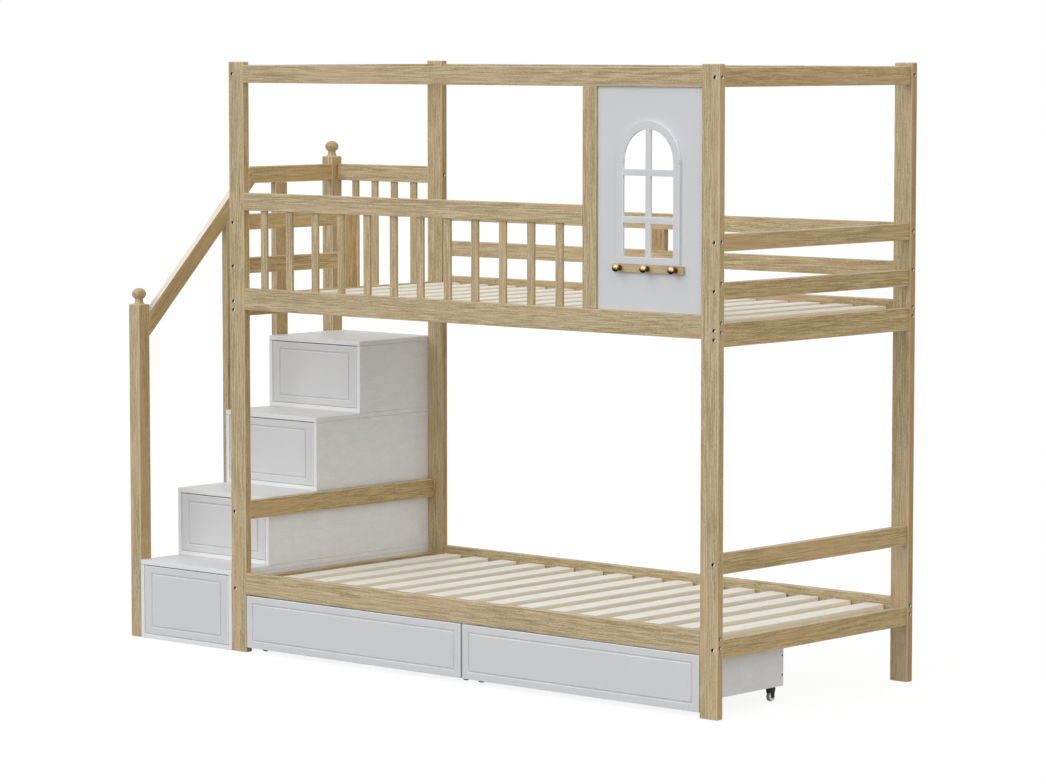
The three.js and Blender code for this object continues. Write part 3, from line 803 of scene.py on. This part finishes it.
def milled_front(name, low, high, groove_side):
    """A drawer front with its groove and eased edges."""
    piece = block(name, low, high)
    width, middle = high.x - low.x, (low + high) / 2
    bpy.ops.object.mode_set(mode="EDIT")
    pick(piece, "faces", lambda face: face.normal.y < -straight_share)
    bpy.ops.mesh.inset(thickness=groove_level)
    shrink = (width - 2 * groove_side) / (width - 2 * groove_level)
    bpy.ops.transform.resize(value=(shrink, 1, 1), center_override=middle)
    bpy.ops.mesh.inset(thickness=groove_width, use_select_inset=True)
    bpy.ops.mesh.extrude_region_move(TRANSFORM_OT_translate={"value": (0, groove_depth, 0)})

    def straight(edge):
        way = (edge.verts[1].co - edge.verts[0].co).normalized()
        return max(abs(part) for part in way) > straight_share

    def on_side(edge):
        return any(abs(point.co.x - side) < same_place
                   for point in edge.verts for side in (low.x, high.x))

    def at_end(edge):
        return any(all(abs(point.co.z - end) < same_place for point in edge.verts)
                   for end in (low.z, high.z))

    def in_groove(edge):
        return straight(edge) and not on_side(edge) and edge.calc_length() > 2 * groove_depth

    def on_rim(edge):
        upright = on_side(edge) and edge.calc_length() > groove_level
        return straight(edge) and (at_end(edge) or upright)

    pick(piece, "edges", in_groove)
    bpy.ops.mesh.bevel(offset=groove_ease, segments=2, affect="EDGES")
    pick(piece, "edges", on_rim)
    bpy.ops.mesh.bevel(offset=front_ease, segments=3, affect="EDGES")
    bpy.ops.object.mode_set(mode="OBJECT")
    mark_faces(piece, "worn_and_highlit", tilted)

    # Painted shade: the faces of the groove, set back from the front, are darkened
    def holds_painted_groove_shade(face):
        inset = min(*(face.center - low).xz, *(high - face.center).xz)
        return inset > front_ease and low.y + groove_ease < face.center.y < middle.y

    mark_faces(piece, "painted_groove_shade", holds_painted_groove_shade)
    return piece


def box_panels(low, high):
    """The four walls and the base of a drawer box, open at the top."""
    inside_low = low + Vector((drawer_wall, drawer_wall, drawer_base))
    inside_high = high - Vector((drawer_wall, drawer_wall, 0))
    return [
        white_panel(low, (inside_low.x, high.y, high.z)),
        white_panel((inside_high.x, low.y, low.z), high),
        white_panel((inside_low.x, low.y, low.z), (inside_high.x, inside_low.y, high.z)),
        white_panel((inside_low.x, inside_high.y, low.z), (inside_high.x, high.y, high.z)),
        white_panel((inside_low.x, inside_low.y, low.z),
                    (inside_high.x, inside_high.y, inside_low.z), drawer_base_ease)]


for number in range(1, 5):
    node = f"step_drawer_{number}"
    low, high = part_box(node)
    front = milled_front(f"{node}_front", Vector((low.x, low.y, low.z + step_front_lift)),
                         Vector((high.x, low.y + front_board, high.z)), step_groove_side)
    settle(front, white_paint, "white_board", node, node)
    box = join(f"{node}_box", box_panels(Vector((low.x, low.y + front_board, low.z)),
                                         Vector((high.x, high.y, high.z - step_box_drop))))
    settle(box, melamine, "white_board", node)


# Newels
# Two square oak newels stand at the foot and the head of the stair. Each is topped by a turned ball
# on a flared neck, glued on with a dowel.
ball_radius = 0.024
ball_height = 0.040
ball_neck_radius = 0.0135
ball_steps = 20
finial_foot_radius = 0.022
finial_height = 0.054
finial_sink = 0.002  # its foot sits this far inside the newel's top
flare_steps = 8
finial_sides = 48
newel_shade_angle = 45

for place in faces:
    low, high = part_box(f"newel_{place}")
    newel_top = high.z - finial_height
    top = ball(ball_radius, ball_height, ball_neck_radius, finial_height, ball_steps)
    flare = []
    for step in range(flare_steps):
        share = step / flare_steps
        spread = (finial_foot_radius - ball_neck_radius) * (1 - share) ** 2
        flare.append((ball_neck_radius + spread, share ** 2 * top[0][1]))
    finial = turned("finial", [(finial_foot_radius, -finial_sink), *flare, *top], finial_sides)
    placed(finial, ((low.x + high.x) / 2, (low.y + high.y) / 2, newel_top))
    lay_grain(finial, along_z, along_y)
    shaft = oak_block("shaft", low, (high.x, high.y, newel_top), along_z, post_ease)
    settle(join(f"newel_{place}_oak", [shaft, finial]), oak, "oak", "frame", f"newel_{place}",
           angle=newel_shade_angle)


# Handrail and its posts
# A sloping oak board is mitred to a level one beside the top step. Both are screwed to the newels
# and to two flat posts, whose tops are cut to the handrail's underside.
handrail_slope = math.radians(45)
upward_share = 0.7  # a painted highlight lies on the sloping board where it looks up from its slope by more than this


def bisected(piece, point, normal):
    """Cuts off what lies on the normal's side of a plane."""
    choose(piece)
    bpy.ops.object.mode_set(mode="EDIT")
    bpy.ops.mesh.select_all(action="SELECT")
    bpy.ops.mesh.bisect(plane_co=point, plane_no=normal, clear_outer=True, use_fill=True)
    bpy.ops.object.mode_set(mode="OBJECT")


low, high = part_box("handrail")
slope_along = Vector((0, math.cos(handrail_slope), math.sin(handrail_slope)))
slope_up = Vector((0, -slope_along.z, slope_along.y))
start_top = low.z + handrail_stock / math.cos(handrail_slope)
bend = Vector((0, low.y + (high.z - start_top) / math.tan(handrail_slope), high.z))
mitre = Vector((0, math.cos(handrail_slope / 2), math.sin(handrail_slope / 2)))
level = block("level", (low.x, low.y, high.z - handrail_stock), high)
bisected(level, bend + mitre * trim_seam / 2, -mitre)
ease(level, rail_ease)
lay_grain(level, along_y)
reach = high.y - low.y
sloping = block("sloping", (low.x, -reach, -handrail_stock), (high.x, reach, 0))
placed(sloping, bend, (handrail_slope, 0, 0))
bisected(sloping, bend - mitre * trim_seam / 2, mitre)
bisected(sloping, Vector((0, low.y, 0)), Vector((0, -1, 0)))
ease(sloping, rail_ease)
flat_ways = (Vector(along_x), Vector(along_y), slope_along, slope_up, mitre)
mark_faces(sloping, "worn_and_highlit",
           lambda face: max(abs(face.normal.dot(way)) for way in flat_ways) <= straight_share)
# Painted highlight on the sloping board's upper face
mark_faces(sloping, "painted_light", lambda face: face.normal.dot(slope_up) > upward_share)
lay_grain(sloping, slope_along, along_x)
settle(join("handrail_oak", [level, sloping]), oak, "oak", "frame", "handrail")

under_slope = Vector((0, low.y, low.z)) - slope_up * trim_seam
for place in faces:
    post_low, post_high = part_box(f"handrail_post_{place}")
    post = block(f"handrail_post_{place}_oak", post_low, (post_high.x, post_high.y, high.z))
    if post_low.y < bend.y:
        bisected(post, under_slope, slope_up)
    bisected(post, Vector((0, 0, high.z - handrail_stock - trim_seam)), Vector(along_z))
    ease(post, rail_ease)
    lay_grain(post, along_z)
    settle(post, oak, "oak", "frame", f"handrail_post_{place}")


# Guard behind the top step
# Two oak rails with four flat balusters between them close the back of the landing, from the back
# newel to the bed's post.
landing_baluster_count = 4
low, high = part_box("landing_guard")
gap = (high.x - low.x - landing_baluster_count * baluster_width) / (landing_baluster_count + 1)
foot_top = low.z + handrail_stock
parts = [oak_block("head", (low.x, low.y, high.z - handrail_stock), high, along_x),
         oak_block("foot", low, (high.x, high.y, foot_top), along_x),
         *balusters(landing_baluster_count, low.x + gap, high.x - gap, foot_top, low, high)]
settle(join("landing_guard_oak", parts), oak, "oak", "frame", "landing_guard")


# Rolling drawers
# Two wide drawers of white board roll on the floor under the lower bunk. Their painted fronts have
# the same milled groove as the stair's, and screws hold the boxes' sides to their ends.
bed_groove_side = 0.025
bed_box_inset = 0.010
bed_box_drop = 0.015
bed_front_bottom = 0.017
wheel_headroom = 0.008  # from a wheel's top to its bracket's plate
plate_thickness = 0.008
screw_radius = 0.003
screw_height = 0.001
screw_ease = 0.0003
screw_sides = 20
screw_stand = 0.0003  # from the drawer's side to the middle of a screw's head
screw_levels = (0.081, 0.141)
screw_setback = 0.006
recess_radius = 0.0012
recess_depth = 0.0009

screw_head = cylinder("screw", screw_radius, screw_height, screw_sides, (0, 0, 0))
ease(screw_head, screw_ease, 2)
recess_middle = recess_depth - screw_height / 2 - screw_height
cut(screw_head, cylinder("recess", recess_radius, 2 * screw_height, hexagon_sides,
                         (0, recess_middle, 0)))

for side in sides:
    node = f"bed_drawer_{side}"
    low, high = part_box(node)
    front = milled_front(f"{node}_front", Vector((low.x, low.y, bed_front_bottom)),
                         Vector((high.x, low.y + front_board, high.z)), bed_groove_side)
    settle(front, white_paint, "white_board", node, node)
    wheel_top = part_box(f"{side}_drawer_wheel_front_left")[1].z
    box_low = Vector((low.x + bed_box_inset, low.y + front_board,
                      wheel_top + wheel_headroom + plate_thickness))
    box_high = Vector((high.x - bed_box_inset, high.y, high.z - bed_box_drop))
    settle(join(f"{node}_box", box_panels(box_low, box_high)), melamine, "white_board", node)
    screws = []
    for end, turn in ((box_low.x - screw_stand, -quarter), (box_high.x + screw_stand, quarter)):
        for depth in (box_low.y + screw_setback, box_high.y - screw_setback):
            screws += [copied(screw_head, (end, depth, level), (0, 0, turn))
                       for level in screw_levels]
    settle(join(f"{node}_screws", screws), dark_steel, "dark_steel", node)
bpy.data.objects.remove(screw_head)


# Casters
# Each rolling drawer has four fixed casters: a pressed steel plate with two cheeks, painted black,
# and a wheel of white plastic with a grey, rounded tread on a riveted axle.
plate_length = 0.024
plate_ease = 0.0006
cheek_thickness = 0.0025
cheek_width = 0.008
cheek_eye = 0.004  # the cheeks reach this far under the axle
cheek_round = 0.003
cheek_round_steps = 6
cheek_ease = 0.0004
cheek_gap = 0.0073  # from the wheel's middle to a cheek
axle_radius = 0.0027
axle_sides = 20
rivet_radius = 0.0034
rivet_height = 0.0012
rivet_ease = (0.0005, 0.0006)  # inwards, and where along the rivet's height it starts
wheel_bore = 0.003
wheel_radius = 0.015
wheel_half = 0.007
wheel_sides = 48
wheel_shade_angle = 40
# The wheel's side as radii, each with how far the side is let in there: hub, web and rounded tread
wheel_side = [(0.0048, 0), (0.0054, 0.0015), (0.0104, 0.0018), (0.0112, 0.0004), (0.0126, 0),
              (0.0140, 0.001), (0.0148, 0.0028)]

black_steel, tree, surface = new_finish("black coated steel")
grit = speckle(tree, 1400, 2.0)
coated(tree, surface, mixed(tree, grit, colour(2, 2, 2), colour(12, 12, 12)),
       fitted(tree, grit, 0.3, 0.7, 0.35, 0.55))
surface.inputs["Specular IOR Level"].default_value = 0.25
bumped(tree, surface, grit, 0.1, 0.0003)

tread, tree, surface = new_finish("grey wheel plastic")
grime = speckle(tree, 220, 4.0)
sideways = reckoned(tree, "ABSOLUTE", facing(tree, "X"))
tone = mixed(tree, fitted(tree, grime, 0.35, 0.7), colour(168, 169, 170), colour(120, 120, 119))
tone = mixed(tree, fitted(tree, sideways, 0.4, 0.7), tone, colour(244, 244, 244))
coated(tree, surface, tone, fitted(tree, grime, 0.3, 0.7, 0.4, 0.6))
bumped(tree, surface, grime, 0.08, 0.0004)

half_width = cheek_gap + cheek_thickness
half_plate = plate_length / 2
rivet = [(rivet_radius - rivet_ease[0], half_width + rivet_height),
         (rivet_radius, half_width + rivet_ease[1]), (rivet_radius, half_width),
         (axle_radius, half_width)]
axle_profile = [*[(radius, -height) for radius, height in rivet], *reversed(rivet),
                (0, half_width + rivet_height)]
wheel_profile = [(wheel_bore, -wheel_half),
                 *[(radius, inset - wheel_half) for radius, inset in wheel_side],
                 (wheel_radius, 0),
                 *[(radius, wheel_half - inset) for radius, inset in reversed(wheel_side)],
                 (wheel_bore, wheel_half), (wheel_bore, -wheel_half)]


def caster_bracket(hub, plate_bottom):
    """The plate, the two tapered cheeks and the riveted axle of one caster."""
    plate = block("plate", (hub.x - half_width, hub.y - half_plate, plate_bottom),
                  (hub.x + half_width, hub.y + half_plate, plate_bottom + plate_thickness))
    ease(plate, plate_ease, 2)
    pieces = [plate]
    foot = hub.z - cheek_eye

    def across_foot(edge):
        start, end = (point.co for point in edge.verts)
        return (abs(start.z - foot) < same_place and abs(end.z - foot) < same_place
                and abs(start.y - end.y) < same_place)

    for cheek_left in (hub.x - half_width, hub.x + cheek_gap):
        cheek = block("cheek", (cheek_left, hub.y - half_plate, foot),
                      (cheek_left + cheek_thickness, hub.y + half_plate, plate_bottom))
        bpy.ops.object.mode_set(mode="EDIT")
        pick(cheek, "faces", lambda face: face.normal.z < -straight_share)
        bpy.ops.transform.resize(value=(1, cheek_width / plate_length, 1), center_override=hub)
        pick(cheek, "edges", across_foot)
        bpy.ops.mesh.bevel(offset=cheek_round, segments=cheek_round_steps, affect="EDGES")
        bpy.ops.object.mode_set(mode="OBJECT")
        ease(cheek, cheek_ease, 2)
        pieces.append(cheek)
    return [*pieces, placed(turned("axle", axle_profile, axle_sides), hub, (0, quarter, 0))]


for side in sides:
    brackets = []
    for spot in ("front_left", "front_right", "back_left", "back_right"):
        wheel_node = f"{side}_drawer_wheel_{spot}"
        low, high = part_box(wheel_node)
        hub = (low + high) / 2
        brackets += caster_bracket(hub, high.z + wheel_headroom)
        wheel = turned(f"{wheel_node}_turned", wheel_profile, wheel_sides, hollow=True)
        placed(wheel, hub, (0, quarter, 0))
        settle(wheel, tread, "wheel_plastic", wheel_node, wheel_node, angle=wheel_shade_angle)
    settle(join(f"bed_drawer_{side}_casters", brackets), black_steel, "black_steel",
           f"bed_drawer_{side}")


# Floor
# A wide white studio floor that keeps the bed's soft shadow. Seen by the camera it glows up to the
# white of the background, so that only the shadow shows on it.
floor_size = 120
floor_grey = 0.32  # what the floor throws back on the bed
floor_shade = 0.15  # the share of the light on it that is seen
floor_glow = 0.89  # lifts it to the background's white


def is_seen(tree):
    """1 for a ray that carries a picture, straight or by a mirror or glass, and 0 for others."""
    path = add_node(tree, "LightPath").outputs
    mirrored = reckoned(tree, "MAXIMUM", path["Is Camera Ray"], path["Is Glossy Ray"])
    return reckoned(tree, "MAXIMUM", mirrored, path["Is Transmission Ray"])


bpy.ops.mesh.primitive_plane_add(size=floor_size)
floor = bpy.context.active_object
floor.name = "studio_floor"
floor_finish, tree, surface = new_finish("white studio floor")
tree.nodes.clear()
matt = add_node(tree, "BsdfDiffuse", {"Color": (*[floor_grey] * 3, 1)}).outputs[0]
pale = add_node(tree, "BsdfDiffuse", {"Color": (*[floor_shade] * 3, 1)}).outputs[0]
glow = add_node(tree, "Emission", {"Color": (1, 1, 1, 1), "Strength": floor_glow}).outputs[0]
lit = add_node(tree, "AddShader", {0: pale, 1: glow}).outputs[0]
shown = add_node(tree, "MixShader", {0: is_seen(tree), 1: matt, 2: lit}).outputs[0]
add_node(tree, "OutputMaterial", {"Surface": shown})
floor.data.materials.append(floor_finish)


# Light
# A plain pale room: even light from all round, white where it is seen or mirrored, and two very
# large soft lamps, the stronger one in front of the bed, the other beyond its right end.
ambient = 0.70
lamp_spread = math.radians(50)
# Each lamp's way from the bed, and its strength
lamps = {"front_lamp": (Vector((-0.2, -0.8, 0.56)), 0.95),
         "right_lamp": (Vector((0.95, -0.2, 0.25)), 0.63)}

world = bpy.data.worlds.new("studio")
bpy.context.scene.world = world
world.use_nodes = True
tree = world.node_tree
tree.nodes.clear()
around = add_node(tree, "Background", {"Color": (1, 1, 1, 1), "Strength": ambient}).outputs[0]
white = add_node(tree, "Background", {"Color": (1, 1, 1, 1), "Strength": 1.0}).outputs[0]
shown = add_node(tree, "MixShader", {0: is_seen(tree), 1: around, 2: white}).outputs[0]
add_node(tree, "OutputWorld", {"Surface": shown})

for name, (direction, strength) in lamps.items():
    lamp = bpy.data.lights.new(name, "SUN")
    lamp.energy = strength
    lamp.angle = lamp_spread
    lamp_object = bpy.data.objects.new(name, lamp)
    bpy.context.collection.objects.link(lamp_object)
    lamp_object.rotation_euler = direction.to_track_quat("Z", "Y").to_euler()

bpy.context.scene.view_settings.view_transform = "Standard"


# Camera
# It stands at the photograph's place, some twelve metres off, in front of the bed and beyond its
# right end, a little higher than the canopy, and looks down by five degrees.
camera_place = (8.5993, -9.5746, 2.0155)
camera_down = 5.05  # degrees
camera_turn = 41.65  # degrees from looking straight at the wall, to the left
camera_lens = 136.14  # millimetres, as is the sensor
camera_sensor = 36

camera_data = bpy.data.cameras.new("camera")
camera_data.sensor_width = camera_sensor
camera_data.lens = camera_lens
camera = bpy.data.objects.new("camera", camera_data)
bpy.context.collection.objects.link(camera)
camera.location = camera_place
camera.rotation_euler = (math.radians(90 - camera_down), 0, math.radians(camera_turn))
bpy.context.scene.camera = camera
